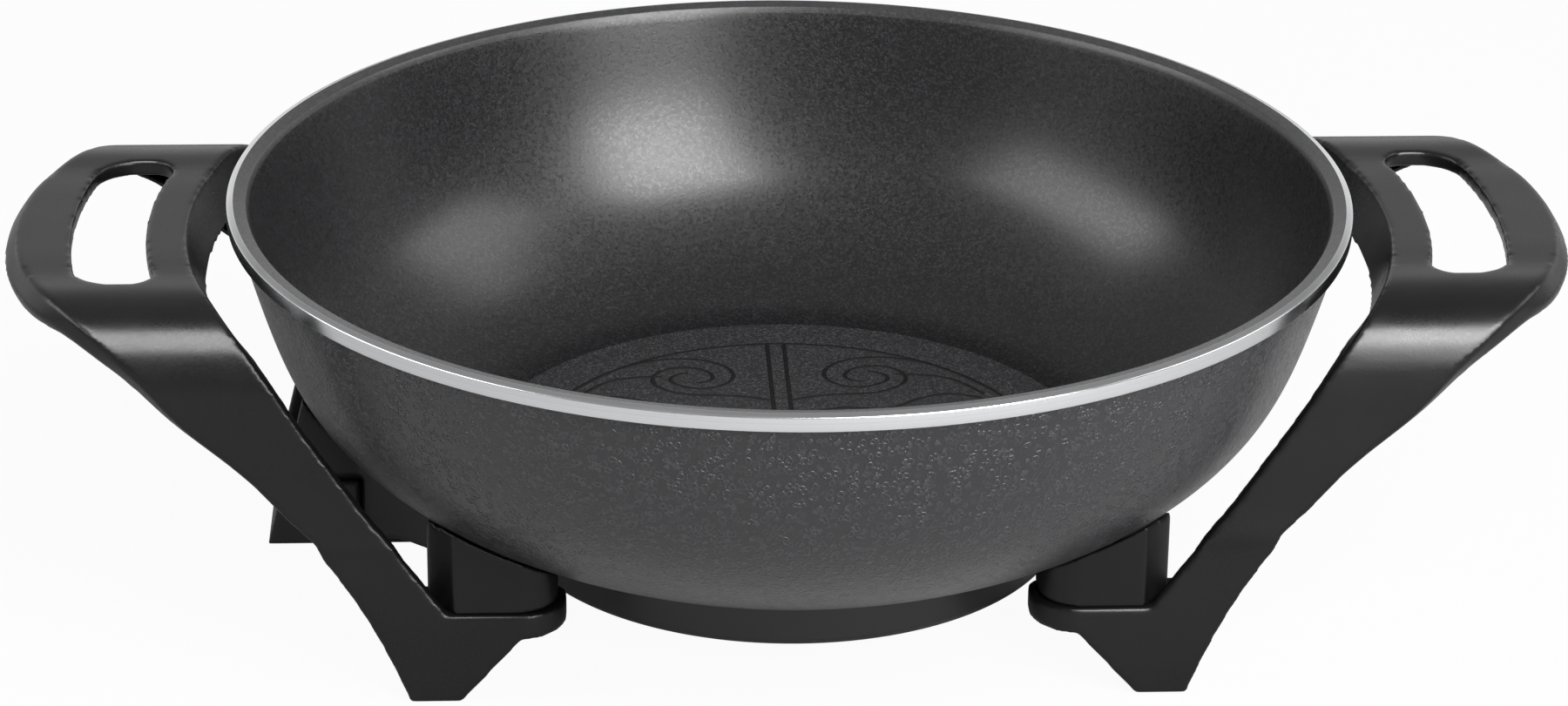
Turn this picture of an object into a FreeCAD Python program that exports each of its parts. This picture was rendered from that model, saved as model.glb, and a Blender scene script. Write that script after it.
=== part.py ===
import FreeCAD, Part
import math
import os

# Electric wok: a deep cast aluminium pan with a cast-in heater, carried by two
# moulded handle-and-leg frames. Millimetres, +Z up, origin on the floor under
# the middle of the pan. The frames stand left and right (-X and +X), and the
# terminal guard for the plug-in probe is under the left one.

os.makedirs("parts", exist_ok=True)

V = FreeCAD.Vector
UP = V(0, 0, 1)

# Pan: radii and heights of the rim, the wall and the floor
RIM_R = 168.0
RIM_TOP = 126.3
RIM_EDGE_DROP = 0.6
RIM_EDGE_IN = 2.0
RIM_FACE = 4.1
LEDGE_R = 162.3
LEDGE_DROP = 0.8
FLOOR_Z = 40.0
FLOOR_R = 95.0
SEAT_R = 85.6
SEAT_Z = 27.2
OUTER_WALL = [(165.4, 120.6), (158.4, 96.0), (148.5, 72.0), (133.4, 54.4), (109.5, 38.8), (SEAT_R, SEAT_Z)]
INNER_WALL = [(FLOOR_R, FLOOR_Z), (112.6, 44.6), (131.2, 58.4), (145.0, 74.5), (154.6, 97.0), (161.4, 123.6)]

# Underside of the pan, inside the base cover
UNDER_Z = 34.5
UNDER_R = 80.6
RIB_R = 66.0
RIB_HALF = 6.0
HEATER_Z = 29.0
HEATER_TUBE_R = 3.75

# Terminal block cast on the left of the pan
BLOCK_FACE_X = -112.0
BLOCK_HALF_Y = 29.0
BLOCK_Z = 29.6
PIN_Y = 14.0
PIN_Z = 36.0
PIN_R = 3.0
PIN_ROOT_R = 3.5
PIN_OUT = 25.0
PIN_TIP_ROUND = 1.6
SEAL_R = 5.4
SEAL_OUT = 3.0
PROBE_BORE_R = 3.2
PROBE_BORE_Z = 34.8
PROBE_BORE_DEPTH = 22.0

# Base cover and what lies in it
COVER_R = 85.0
COVER_Z = 14.5
COVER_WALL = 2.4
COVER_FLOOR = 1.8
PAD_THICK = 2.0
SHIELD_THICK = 0.6
INSIDE_R = 79.6
COVER_SCREW_RING_R = 42.0
COVER_SCREW_BOSS_R = 5.0
COVER_SCREW_R = 2.0
COVER_SCREW_HEAD_R = 4.0
COVER_SCREW_HEAD = 2.2

# Handle-and-leg frame
HANDLE_TOP = 116.3
BEND_START_Y = 59.0
BEND_R = 22.0
SPLAY = math.radians(6.0)
PLATE = 4.0
GRIP_PLATE = 5.0
SKIRT = 16.0
SKIRT_LEAN = 5.6
GRIP_FLANK = 3.2
GRIP_FLANK_GROWTH = 0.02
GRIP_FLANK_DEPTH = 5.2
GRIP_FLANGE = 8.4
LEG_FLANGE = 12.0
HANDLE_INNER_R = 180.0
OPENING_IN_R = 192.0
OPENING_OUT_R = 213.8
OPENING_HALF_Y = 48.5
OPENING_IN_ROUND = 7.0
OPENING_OUT_ROUND = 13.0
LOFT_END_Z = 45.0
LEDGE_Z = 27.1
BRACKET_Z = 19.5
BRACKET_END_X = 68.0
BRACKET_BACK_Y = 67.0
BRACKET_OUT_X = 118.0
BRACKET_BACK_ROUND = 5.0
BRACKET_FRONT_ROUND = 14.0
FOOT_BEVEL_X = 81.0
LEDGE_SLOPE = 0.756
RIB = 5.2
FOOT_IN_X = 98.6
FOOT_DEPTH = 13.0

# Frame cross-sections down the front leg: height, sharp edge x, widest x, inner edge x, flange depth
LEG = [(86.6, 178.6, 182.2, 145.4, 9.0), (76.0, 166.6, 168.4, 138.2, 10.0),
       (65.5, 155.4, 156.3, 131.0, 11.0), (55.0, 146.2, 146.5, 123.4, 11.6),
       (45.0, 138.3, 138.5, 116.0, LEG_FLANGE)]

# and round the bend: degrees from the top, inner edge x, sharp edge x, widest x, plate, skirt, lean, flange
BEND = [(0, 170.0, 215.6, 219.2, 5.0, 16.0, 5.6, 8.2), (28, 165.4, 208.2, 211.8, 4.8, 13.0, 4.2, 7.8),
        (56, 158.8, 197.6, 202.4, 4.4, 8.2, 1.8, 7.6), (84, 151.6, 187.0, 192.2, 4.0, 5.0, 0.2, 8.0)]

# Outer edge of the foot: height and x
FOOT_OUTER = [(45.0, 138.5), (33.5, 130.4), (22.8, 124.0), (12.0, 118.6), (0.6, 113.7)]

# Support pillars between the brackets and the pan
PILLAR_IN_X = 70.4
PILLAR_OUT_X = 108.4
PILLAR_FRONT_Y = 87.0
PILLAR_BACK_Y = 68.4
PILLAR_ROUND = 12.0
PILLAR_CHAMFER_X = 8.0
PILLAR_CHAMFER_Y = 9.0
SEAM = 0.5
LUG_X = 87.0
LUG_Y = 77.6
LUG_R = 7.0
LUG_Z = 34.0
LEG_SCREW_R = 2.5
LEG_SCREW_HEAD_R = 4.6
LEG_SCREW_HEAD = 3.0
WASHER_R = 5.6
WASHER = 1.0

# Rubber pads under the feet
FOOT_PAD = 2.0
FOOT_PAD_OUT = 0.6
FOOT_PAD_INSET = 2.4

# Guard round the terminals
GUARD_HALF_Y = 35.0
GUARD_WALL = 2.8
GUARD_Z = 26.4
GUARD_BACK_X = -87.5
GUARD_MOUTH_LOW_X = -157.0
GUARD_MOUTH_HIGH_X = -145.0
GUARD_MOUTH_HIGH_Z = 75.0
GUARD_WING_X = -129.0
GUARD_SILL_Z = 47.0
GUARD_SILL_OUT = 2.6
WING_END_X = -99.0
WING_END_Y = 62.0
WING_Z = 28.8
GUARD_SCREW_X = -98.0
GUARD_SCREW_Y = 23.4
GUARD_SCREW_R = 2.0
GUARD_SCREW_HEAD_R = 3.8
GUARD_SCREW_HEAD = 2.0
GUARD_BOSS_R = 4.6


def box(x0, x1, y0, y1, z0, z1):
    return Part.makeBox(x1 - x0, y1 - y0, z1 - z0, V(x0, y0, z0))


def rod(radius, start, end):
    axis = V(*end) - V(*start)
    return Part.makeCylinder(radius, axis.Length, V(*start), axis)


def polygon(points):
    return Part.makePolygon([V(*p) for p in points] + [V(*points[0])])


def curve(points):
    spline = Part.BSplineCurve()
    spline.interpolate([V(*p) for p in points])
    return spline.toShape()


def line(a, b):
    return Part.makeLine(V(*a), V(*b))


def profile(points):
    return [(r, 0, z) for r, z in points]


def turned(edges):
    return Part.Face(Part.Wire(edges)).revolve(V(0, 0, 0), UP, 360)


def chain(points):
    return [line(a, b) for a, b in zip(points, points[1:])]


def mirror_x(shape):
    return shape.mirror(V(0, 0, 0), V(1, 0, 0))


def mirror_y(shape):
    return shape.mirror(V(0, 0, 0), V(0, 1, 0))


def four_corners(shape):
    """The shape at the right front, and at the other three corners."""
    left = mirror_x(shape)
    return {
        "front_right": shape,
        "rear_right": mirror_y(shape),
        "front_left": left,
        "rear_left": mirror_y(left),
    }


def group(shapes):
    return Part.makeCompound(shapes)


def under_pan(gap):
    """All the space above the pan's outer surface, let down by a gap."""
    outer = [(r + gap * 0.6, z - gap) for r, z in OUTER_WALL]
    top = (RIM_R + 60.0, 160.0)
    edges = [curve(profile(outer))]
    last = outer[-1]
    first = outer[0]
    edges += chain(profile([last, (0, last[1]), (0, top[1]), (first[0], top[1]), first]))
    return turned(edges)


def inner_wall_curve():
    """The inside of the pan, level where it leaves the floor and steep at the rim."""
    inner = Part.BSplineCurve()
    inner.interpolate(Points=[V(*p) for p in profile(INNER_WALL)], InitialTangent=V(1, 0, 0),
                      FinalTangent=V(0.25, 0, 1))
    return inner.toShape()


def wall_ring():
    """The turned pan without its lugs: rim, wall, floor and underside."""
    rim_out = RIM_TOP - RIM_EDGE_DROP
    edges = []
    edges += chain(profile([
        INNER_WALL[-1],
        (LEDGE_R - 0.25, RIM_TOP - LEDGE_DROP - 0.35),
        (LEDGE_R, RIM_TOP - LEDGE_DROP),
        (RIM_R - RIM_EDGE_IN, RIM_TOP),
        (RIM_R, rim_out),
        (RIM_R, rim_out - RIM_FACE),
        (RIM_R - 0.6, rim_out - RIM_FACE - 0.5),
        OUTER_WALL[0],
    ]))
    edges.append(curve(profile(OUTER_WALL)))
    edges += chain(profile([
        OUTER_WALL[-1],
        (UNDER_R, SEAT_Z),
        (UNDER_R, UNDER_Z),
        (RIB_R + RIB_HALF, UNDER_Z),
        (RIB_R + RIB_HALF, HEATER_Z),
        (RIB_R - RIB_HALF, HEATER_Z),
        (RIB_R - RIB_HALF, UNDER_Z),
        (0, UNDER_Z),
        (0, FLOOR_Z),
        INNER_WALL[0],
    ]))
    edges.append(inner_wall_curve())
    return turned(edges)


def pan_cavity():
    """The space inside the pan, to keep the lugs out of it."""
    top = (INNER_WALL[-1][0], 160.0)
    edges = [inner_wall_curve()]
    edges += chain(profile([INNER_WALL[-1], top, (0, 160.0), (0, FLOOR_Z), INNER_WALL[0]]))
    return turned(edges)


def heating_element():
    """A nearly closed sheathed ring whose two ends run out to the terminals."""
    ring_end_x = -math.sqrt(RIB_R ** 2 - PIN_Y ** 2)
    half_gap = math.degrees(math.asin(PIN_Y / RIB_R))
    ring = Part.makeTorus(RIB_R, HEATER_TUBE_R, V(0, 0, HEATER_Z), UP, -180, 180, 360 - 2 * half_gap)
    ring.rotate(V(0, 0, 0), UP, 180 + half_gap)
    shape = ring
    for side in (-1, 1):
        bend = (ring_end_x, side * PIN_Y, HEATER_Z)
        rise = (PIN_Z - HEATER_Z) / (BLOCK_FACE_X - ring_end_x)
        far_x = BLOCK_FACE_X - 6.0
        far = (far_x, side * PIN_Y, HEATER_Z + rise * (far_x - ring_end_x))
        shape = shape.fuse([Part.makeSphere(HEATER_TUBE_R, V(*bend)), rod(HEATER_TUBE_R, bend, far)])
    return shape.cut(box(BLOCK_FACE_X - 20, BLOCK_FACE_X, -30, 30, 0, 60))


def cover_screw_places():
    places = []
    for k in range(3):
        angle = math.radians(30 + 120 * k)
        places.append((COVER_SCREW_RING_R * math.cos(angle), COVER_SCREW_RING_R * math.sin(angle)))
    return places


def pan(element):
    """The casting: turned body, terminal block, screw bosses and leg lugs."""
    shield_top = COVER_Z + COVER_FLOOR + PAD_THICK + SHIELD_THICK
    lugs = [box(BLOCK_FACE_X, -UNDER_R + 2, -BLOCK_HALF_Y, BLOCK_HALF_Y, BLOCK_Z, 50)]
    for x, y in cover_screw_places():
        lugs.append(rod(COVER_SCREW_BOSS_R, (x, y, shield_top), (x, y, UNDER_Z + 1)))
    lug = rod(LUG_R, (LUG_X, -LUG_Y, LUG_Z), (LUG_X, -LUG_Y, 55))
    lugs += list(four_corners(lug).values())
    cavity = pan_cavity()
    body = wall_ring().fuse([piece.cut(cavity) for piece in lugs])
    cuts = [element]
    for x, y in cover_screw_places():
        cuts.append(rod(COVER_SCREW_R, (x, y, 0), (x, y, UNDER_Z - 2)))
    hole = rod(LEG_SCREW_R, (LUG_X, -LUG_Y, 0), (LUG_X, -LUG_Y, FLOOR_Z + 1))
    cuts += list(four_corners(hole).values())
    cuts.append(rod(PROBE_BORE_R, (BLOCK_FACE_X - 5, 0, PROBE_BORE_Z),
                    (BLOCK_FACE_X + PROBE_BORE_DEPTH, 0, PROBE_BORE_Z)))
    for side in (-1, 1):
        place = (GUARD_SCREW_X, side * GUARD_SCREW_Y)
        cuts.append(rod(GUARD_SCREW_R, place + (0,), place + (PIN_Z + 1,)))
    return body.cut(cuts).removeSplitter()


def base_cover():
    """The shallow black pan that closes the heater from below."""
    inner_r = COVER_R - COVER_WALL
    round_r = 2.2
    low = COVER_R - round_r
    quarter = math.sqrt(0.5) * round_r
    corner = Part.Arc(V(low, 0, COVER_Z), V(low + quarter, 0, COVER_Z + round_r - quarter),
                      V(COVER_R, 0, COVER_Z + round_r)).toShape()
    edges = chain(profile([(0, COVER_Z), (low, COVER_Z)]))
    edges.append(corner)
    edges += chain(profile([
        (COVER_R, COVER_Z + round_r),
        (COVER_R, SEAT_Z),
        (inner_r, SEAT_Z),
        (inner_r, COVER_Z + COVER_FLOOR),
        (0, COVER_Z + COVER_FLOOR),
        (0, COVER_Z),
    ]))
    holes = [rod(COVER_SCREW_R + 0.2, (x, y, 0), (x, y, 40)) for x, y in cover_screw_places()]
    return turned(edges).cut(holes)


def plate_with_holes(radius, low, thick):
    disc = Part.makeCylinder(radius, thick, V(0, 0, low))
    holes = [rod(COVER_SCREW_R + 0.2, (x, y, 0), (x, y, 40)) for x, y in cover_screw_places()]
    return disc.cut(holes)


def pan_head_screw(radius, head_r, head, tip_z, seat_z, place):
    """A screw driven upwards: its head sits below seat_z, its tip is at tip_z."""
    x, y = place
    dome = Part.makeCylinder(head_r, head, V(x, y, seat_z - head))
    dome = dome.makeFillet(head * 0.45, [e for e in dome.Edges if abs(e.BoundBox.ZMax - seat_z + head) < 0.01
                                         and e.Closed])
    slot = box(-head_r, head_r, -0.5, 0.5, 0, 1.0)
    cross = slot.fuse(box(-0.5, 0.5, -head_r * 0.6, head_r * 0.6, 0, 1.0))
    cross = cross.common(Part.makeCylinder(head_r * 0.6, 1.0))
    cross.translate(V(x, y, seat_z - head))
    shank = rod(radius, (x, y, seat_z - 0.2), (x, y, tip_z))
    return dome.fuse(shank).cut(cross)


def leg_plane_y(z):
    """How far forward the legs' outer face is at a height."""
    bend_end_y = BEND_START_Y + BEND_R * math.cos(SPLAY)
    bend_end_z = HANDLE_TOP - BEND_R + BEND_R * math.sin(SPLAY)
    return bend_end_y + (bend_end_z - z) * math.tan(SPLAY)


def grip_outer_x(y):
    """The loop's widest outline, seen from above: a flattened curve."""
    return 233.8 - 0.003 * y ** 2 - 0.00000036 * y ** 4


def section(place, normal, xs, depths):
    """One cross-section of the frame: a channel open on its inner side."""
    x_in, x_sharp, x_out = xs
    plate, skirt, lean, flank, flange = depths
    outline = [
        (x_in, 0),
        (x_sharp, 0),
        (x_out, flank),
        (x_out - 1.2, flange),
        (x_out - RIB + 0.6, flange),
        (x_out - RIB, plate),
        (x_in + 3.8, plate),
        (x_in - lean + 3.4, skirt),
        (x_in - lean, skirt),
    ]
    y, z = place
    ny, nz = normal
    return polygon([(x, y - ny * d, z - nz * d) for x, d in outline])


def frame_sections():
    """Cross-sections from the middle of the loop down to the front leg."""
    sections = []
    for y in (0.0, 15.0, 30.0, 45.0):
        x_out = grip_outer_x(y)
        flank = GRIP_FLANK + GRIP_FLANK_GROWTH * y
        xs = (math.sqrt(HANDLE_INNER_R ** 2 - y ** 2), x_out - flank, x_out)
        depths = (GRIP_PLATE, SKIRT, SKIRT_LEAN, GRIP_FLANK_DEPTH, GRIP_FLANGE)
        sections.append(section((-y, HANDLE_TOP), (0, 1), xs, depths))
    for angle, x_in, x_sharp, x_out, plate, skirt, lean, flange in BEND:
        turn = math.radians(angle)
        ny = -math.sin(turn)
        nz = math.cos(turn)
        place = (-BEND_START_Y + BEND_R * ny, HANDLE_TOP - BEND_R + BEND_R * nz)
        depths = (plate, skirt, lean, GRIP_FLANK_DEPTH, flange)
        sections.append(section(place, (ny, nz), (x_in, x_sharp, x_out), depths))
    for z, x_sharp, x_out, x_in, flange in LEG:
        depths = (PLATE, PLATE + 0.4, 0.0, 0.8 + (x_out - x_sharp), flange)
        sections.append(section((-leg_plane_y(z), z), (-1, 0), (x_in, x_sharp, x_out), depths))
    return sections


def mirrored_wire(wire):
    """The same cross-section on the rear half, with its corners in the same order."""
    points = [v.Point for v in wire.OrderedVertexes]
    return polygon([(p.x, -p.y, p.z) for p in points])


def finger_opening():
    """The curved hand hole, with rounded corners, as a cutter."""
    out = Part.makeCylinder(OPENING_OUT_R, 60, V(0, 0, 80))
    ring = out.cut(Part.makeCylinder(OPENING_IN_R, 60, V(0, 0, 80)))
    cutter = ring.common(box(100, 260, -OPENING_HALF_Y, OPENING_HALF_Y, 80, 140))
    for radius, round_r in ((OPENING_IN_R, OPENING_IN_ROUND), (OPENING_OUT_R, OPENING_OUT_ROUND)):
        corners = [e for e in cutter.Edges if e.BoundBox.ZLength > 50
                   and abs(math.hypot(e.Vertexes[0].X, e.Vertexes[0].Y) - radius) < 0.5
                   and abs(abs(e.Vertexes[0].Y) - OPENING_HALF_Y) < 0.5]
        cutter = cutter.makeFillet(round_r, corners)
    return cutter


def leg_slab(depth):
    """The slab of a leg's thickness, from its tilted face backwards (front legs)."""
    low = -5.0
    high = LOFT_END_Z
    y_low = -leg_plane_y(low)
    y_high = -leg_plane_y(high)
    side = polygon([(0, y_low, low), (0, y_high, high), (0, y_high + depth, high), (0, y_low + depth, low)])
    return Part.Face(side).extrude(V(200, 0, 0))


def foot_outline(edges):
    """A foot outline drawn in the XZ plane, made into a block across the legs."""
    face = Part.Face(Part.Wire(Part.__sortEdges__(edges)))
    prism = face.extrude(V(0, 60, 0))
    prism.translate(V(0, -110, 0))
    return prism


def rounded_block(x0, x1, y0, y1, z0, z1, radii):
    """An upright block whose four upright edges each have their own radius."""
    block = box(x0, x1, y0, y1, z0, z1)
    for (cx, cy), radius in radii.items():
        edge = [e for e in block.Edges if e.BoundBox.ZLength > (z1 - z0) - 0.1
                and abs(e.Vertexes[0].X - cx) < 0.01 and abs(e.Vertexes[0].Y - cy) < 0.01]
        block = block.makeFillet(radius, edge)
    return block


def front_foot():
    """The lower leg, the foot and the bracket that carries a pillar (right front)."""
    outer = [(x, 0, z) for z, x in FOOT_OUTER]
    z_top = LOFT_END_Z
    x_top = LEG[-1][3]
    x_ledge = x_top - (z_top - LEDGE_Z) * LEDGE_SLOPE
    z_foot, x_foot = FOOT_OUTER[-1]
    plate_edges = [curve(outer)]
    plate_edges += chain([
        (x_foot, 0, z_foot), (FOOT_IN_X, 0, z_foot), (FOOT_BEVEL_X, 0, BRACKET_Z),
        (FOOT_BEVEL_X, 0, LEDGE_Z), (x_ledge, 0, LEDGE_Z), (x_top, 0, z_top), (FOOT_OUTER[0][1], 0, z_top),
    ])
    prism = foot_outline(plate_edges)
    plate = prism.common(leg_slab(PLATE))
    strip = [(x - RIB, 0, z) for x, _, z in outer]
    flange_edges = [curve(outer), curve(strip)]
    flange_edges += chain([outer[0], strip[0]]) + chain([outer[-1], strip[-1]])
    flange = foot_outline(flange_edges).common(leg_slab(LEG_FLANGE))
    foot = prism.common(leg_slab(FOOT_DEPTH)).common(box(60, 200, -120, -40, 0, LEDGE_Z))
    back = -BRACKET_BACK_Y
    bracket = rounded_block(BRACKET_END_X, BRACKET_OUT_X, -95, back, BRACKET_Z, LEDGE_Z,
                            {(x, back): BRACKET_BACK_ROUND for x in (BRACKET_END_X, BRACKET_OUT_X)})
    bracket = bracket.common(leg_slab(60))
    corner = [e for e in bracket.Edges if abs(e.Vertexes[0].X - BRACKET_END_X) < 0.05
              and e.Vertexes[0].Y < -85 and e.BoundBox.ZLength > 7]
    bracket = bracket.makeFillet(BRACKET_FRONT_ROUND, corner)
    return plate.fuse([flange, foot, bracket])


def right_frame():
    front = frame_sections()
    rear = [mirrored_wire(w) for w in front[:0:-1]]
    arch = Part.makeLoft(rear + front, True, False)
    arch = arch.cut(finger_opening())
    foot = front_foot()
    body = arch.fuse([foot, mirror_y(foot)])
    hole = rod(LEG_SCREW_R + 0.3, (LUG_X, -LUG_Y, 0), (LUG_X, -LUG_Y, 40))
    pocket = rod(WASHER_R + 0.6, (LUG_X, -LUG_Y, 0), (LUG_X, -LUG_Y, BRACKET_Z + 4))
    cuts = [hole, pocket, foot_pad()]
    cuts += [mirror_y(c) for c in cuts]
    return body.cut(cuts)


def foot_pad():
    """The rubber pad let into the right front foot."""
    y_front = -leg_plane_y(0) + FOOT_PAD_INSET
    y_back = y_front + FOOT_DEPTH - 2 * FOOT_PAD_INSET
    x0 = FOOT_IN_X + FOOT_PAD_INSET
    x1 = FOOT_OUTER[-1][1] - FOOT_PAD_INSET
    corners = {(x, y): 1.5 for x in (x0, x1) for y in (y_front, y_back)}
    return rounded_block(x0, x1, y_front, y_back, 0.0, FOOT_PAD + FOOT_PAD_OUT, corners)


def pillar():
    """The moulded pillar on the right front bracket, cut to the pan's curve."""
    x0 = PILLAR_IN_X
    x1 = PILLAR_OUT_X
    front = -PILLAR_FRONT_Y
    back = -PILLAR_BACK_Y
    outline = polygon([
        (x0, front, LEDGE_Z), (x1 - PILLAR_CHAMFER_X, front, LEDGE_Z),
        (x1, front + PILLAR_CHAMFER_Y, LEDGE_Z),
        (x1, back, LEDGE_Z), (x0, back, LEDGE_Z),
    ])
    post = Part.Face(outline).extrude(V(0, 0, 40))
    front_end = [e for e in post.Edges if e.BoundBox.ZLength > 39 and abs(e.Vertexes[0].X - x0) < 0.01
                 and abs(e.Vertexes[0].Y - front) < 0.01]
    post = post.makeFillet(PILLAR_ROUND, front_end)
    post = post.cut(under_pan(SEAM))
    post = post.cut(rod(LUG_R + 0.3, (LUG_X, -LUG_Y, LUG_Z - 0.3), (LUG_X, -LUG_Y, 80)))
    return post.cut(rod(LEG_SCREW_R + 0.3, (LUG_X, -LUG_Y, 0), (LUG_X, -LUG_Y, 80)))


def guard_prism(offset, low, high):
    """The guard's outline seen from above, moved inwards by offset, as a block."""
    half = GUARD_HALF_Y - offset
    wing_x = GUARD_WING_X + offset
    end_x = WING_END_X + offset
    end_y = WING_END_Y - offset * 0.3
    mouth_x = GUARD_MOUTH_LOW_X - 5
    mid_x = wing_x * 0.42 + end_x * 0.58
    mid_y = half * 0.62 + end_y * 0.38
    edges = [line((mouth_x, -half, low), (wing_x, -half, low))]
    edges.append(Part.Arc(V(wing_x, -half, low), V(mid_x, -mid_y, low), V(end_x, -end_y, low)).toShape())
    edges += chain([(end_x, -end_y, low), (GUARD_BACK_X, -end_y, low), (GUARD_BACK_X, end_y, low),
                    (end_x, end_y, low)])
    edges.append(Part.Arc(V(end_x, end_y, low), V(mid_x, mid_y, low), V(wing_x, half, low)).toShape())
    edges += chain([(wing_x, half, low), (mouth_x, half, low), (mouth_x, -half, low)])
    return Part.Face(Part.Wire(edges)).extrude(V(0, 0, high - low))


def probe_guard():
    """The moulded hood round the terminals, open towards -X for the probe."""
    shell = guard_prism(0.0, GUARD_Z, 90)
    sill = box(GUARD_MOUTH_LOW_X - 5, GUARD_WING_X, -GUARD_HALF_Y - GUARD_SILL_OUT,
               GUARD_HALF_Y + GUARD_SILL_OUT, GUARD_Z, GUARD_SILL_Z)
    hollow = guard_prism(GUARD_WALL, GUARD_Z + GUARD_WALL, 95)
    wings = box(GUARD_WING_X - 10, GUARD_BACK_X, GUARD_HALF_Y + GUARD_SILL_OUT, 80, 0, WING_Z)
    body = shell.cut([wings, mirror_y(wings)]).fuse(sill).cut(hollow)
    slope = (GUARD_MOUTH_HIGH_X - GUARD_MOUTH_LOW_X) / (GUARD_MOUTH_HIGH_Z - GUARD_Z)
    x_low = GUARD_MOUTH_LOW_X - slope * 10
    x_high = GUARD_MOUTH_HIGH_X + slope * 25
    mouth = polygon([(x_low, -80, GUARD_Z - 10), (x_high, -80, GUARD_MOUTH_HIGH_Z + 25),
                     (-200, -80, GUARD_MOUTH_HIGH_Z + 25), (-200, -80, GUARD_Z - 10)])
    body = body.cut(Part.Face(mouth).extrude(V(0, 160, 0)))
    bosses = []
    holes = []
    for side in (-1, 1):
        place = (GUARD_SCREW_X, side * GUARD_SCREW_Y)
        bosses.append(rod(GUARD_BOSS_R, place + (GUARD_Z,), place + (BLOCK_Z,)))
        holes.append(rod(GUARD_SCREW_R + 0.2, place + (0,), place + (60,)))
    body = body.fuse(bosses).cut(holes)
    body = body.cut(Part.makeCylinder(COVER_R + 1.2, 60, V(0, 0, 0)))
    body = body.cut(under_pan(SEAM))
    return body


def build():
    nodes = {}
    element = heating_element()
    nodes["heating_element"] = element
    nodes["wok_pan"] = pan(element)
    nodes["base_cover"] = base_cover()
    pad_z = COVER_Z + COVER_FLOOR
    nodes["insulation_pad"] = plate_with_holes(INSIDE_R, pad_z, PAD_THICK)
    nodes["heat_shield"] = plate_with_holes(INSIDE_R, pad_z + PAD_THICK, SHIELD_THICK)
    nodes["cover_screws"] = group([
        pan_head_screw(COVER_SCREW_R, COVER_SCREW_HEAD_R, COVER_SCREW_HEAD, UNDER_Z - 3, COVER_Z, place)
        for place in cover_screw_places()])

    pins = []
    seals = []
    for side in (-1, 1):
        start = (BLOCK_FACE_X, side * PIN_Y, PIN_Z)
        end = (BLOCK_FACE_X - PIN_OUT, side * PIN_Y, PIN_Z)
        seal_end = (BLOCK_FACE_X - SEAL_OUT, side * PIN_Y, PIN_Z)
        pin = rod(PIN_R, start, end)
        tip = [e for e in pin.Edges if e.Closed and e.BoundBox.XMax < end[0] + 0.01]
        root = rod(PIN_ROOT_R, start, seal_end)
        pins.append(pin.makeFillet(PIN_TIP_ROUND, tip).fuse(root).removeSplitter())
        seals.append(rod(SEAL_R, start, seal_end).cut(root))
    nodes["terminal_pins"] = group(pins)
    nodes["terminal_seals"] = group(seals)

    nodes["probe_guard"] = probe_guard()
    guard_screws = []
    for side in (-1, 1):
        place = (GUARD_SCREW_X, side * GUARD_SCREW_Y)
        guard_screws.append(pan_head_screw(GUARD_SCREW_R, GUARD_SCREW_HEAD_R, GUARD_SCREW_HEAD,
                                           PIN_Z, GUARD_Z, place))
    nodes["guard_screws"] = group(guard_screws)

    frame = right_frame()
    nodes["handle_frame_right"] = frame
    nodes["handle_frame_left"] = mirror_x(frame)
    for name, shape in four_corners(pillar()).items():
        nodes["pillar_" + name] = shape
    for name, shape in four_corners(foot_pad()).items():
        nodes["foot_pad_" + name] = shape

    seat = BRACKET_Z + 4
    washer = rod(WASHER_R, (LUG_X, -LUG_Y, seat - WASHER), (LUG_X, -LUG_Y, seat))
    washer = washer.cut(rod(LEG_SCREW_R + 0.3, (LUG_X, -LUG_Y, 0), (LUG_X, -LUG_Y, 40)))
    screw = pan_head_screw(LEG_SCREW_R, LEG_SCREW_HEAD_R, LEG_SCREW_HEAD, FLOOR_Z - 0.5, seat - WASHER,
                           (LUG_X, -LUG_Y))
    nodes["leg_washers"] = group(list(four_corners(washer).values()))
    nodes["leg_screws"] = group(list(four_corners(screw).values()))
    return nodes


for node, shape in build().items():
    print(node, "valid", shape.isValid(), "solids", len(shape.Solids), "volume %.0f" % shape.Volume)
    shape.exportStep("parts/" + node + ".step")
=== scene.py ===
import math

import bpy
import bmesh
from mathutils import Matrix, Vector


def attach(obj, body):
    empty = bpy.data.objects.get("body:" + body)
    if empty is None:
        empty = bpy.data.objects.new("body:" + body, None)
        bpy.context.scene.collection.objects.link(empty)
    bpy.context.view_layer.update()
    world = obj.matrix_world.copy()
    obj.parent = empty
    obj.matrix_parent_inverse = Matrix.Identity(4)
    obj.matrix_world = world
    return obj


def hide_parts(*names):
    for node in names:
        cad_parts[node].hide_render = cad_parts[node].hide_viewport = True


# Electric wok on two moulded handle-and-leg frames. +Z is up and the pan's axis is Z.
# Sizes of the object are in millimetres and go through MM; sizes of the studio are in metres.
MM = 0.001

# Pan: the same named sizes as the solid
RIM_R = 168.0
RIM_TOP = 126.3
RIM_EDGE_DROP = 0.6
RIM_EDGE_IN = 2.0
RIM_FACE = 4.1
RIM_FOOT_IN = 0.6
RIM_FOOT_DROP = 0.5
LEDGE_R = 162.3
LEDGE_DROP = 0.8
LEDGE_CHAMFER_IN = 0.25
LEDGE_CHAMFER_DROP = 0.35
FLOOR_Z = 40.0
FLOOR_R = 95.0
FLOOR_MIDDLE_R = 40.0
SEAT_R = 85.6
SEAT_Z = 27.2
OUTER_WALL = [(165.4, 120.6), (158.4, 96.0), (148.5, 72.0), (133.4, 54.4), (109.5, 38.8),
              (SEAT_R, SEAT_Z)]
INNER_WALL = [(FLOOR_R, FLOOR_Z), (112.6, 44.6), (131.2, 58.4), (145.0, 74.5), (154.6, 97.0),
              (161.4, 123.6)]
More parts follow.
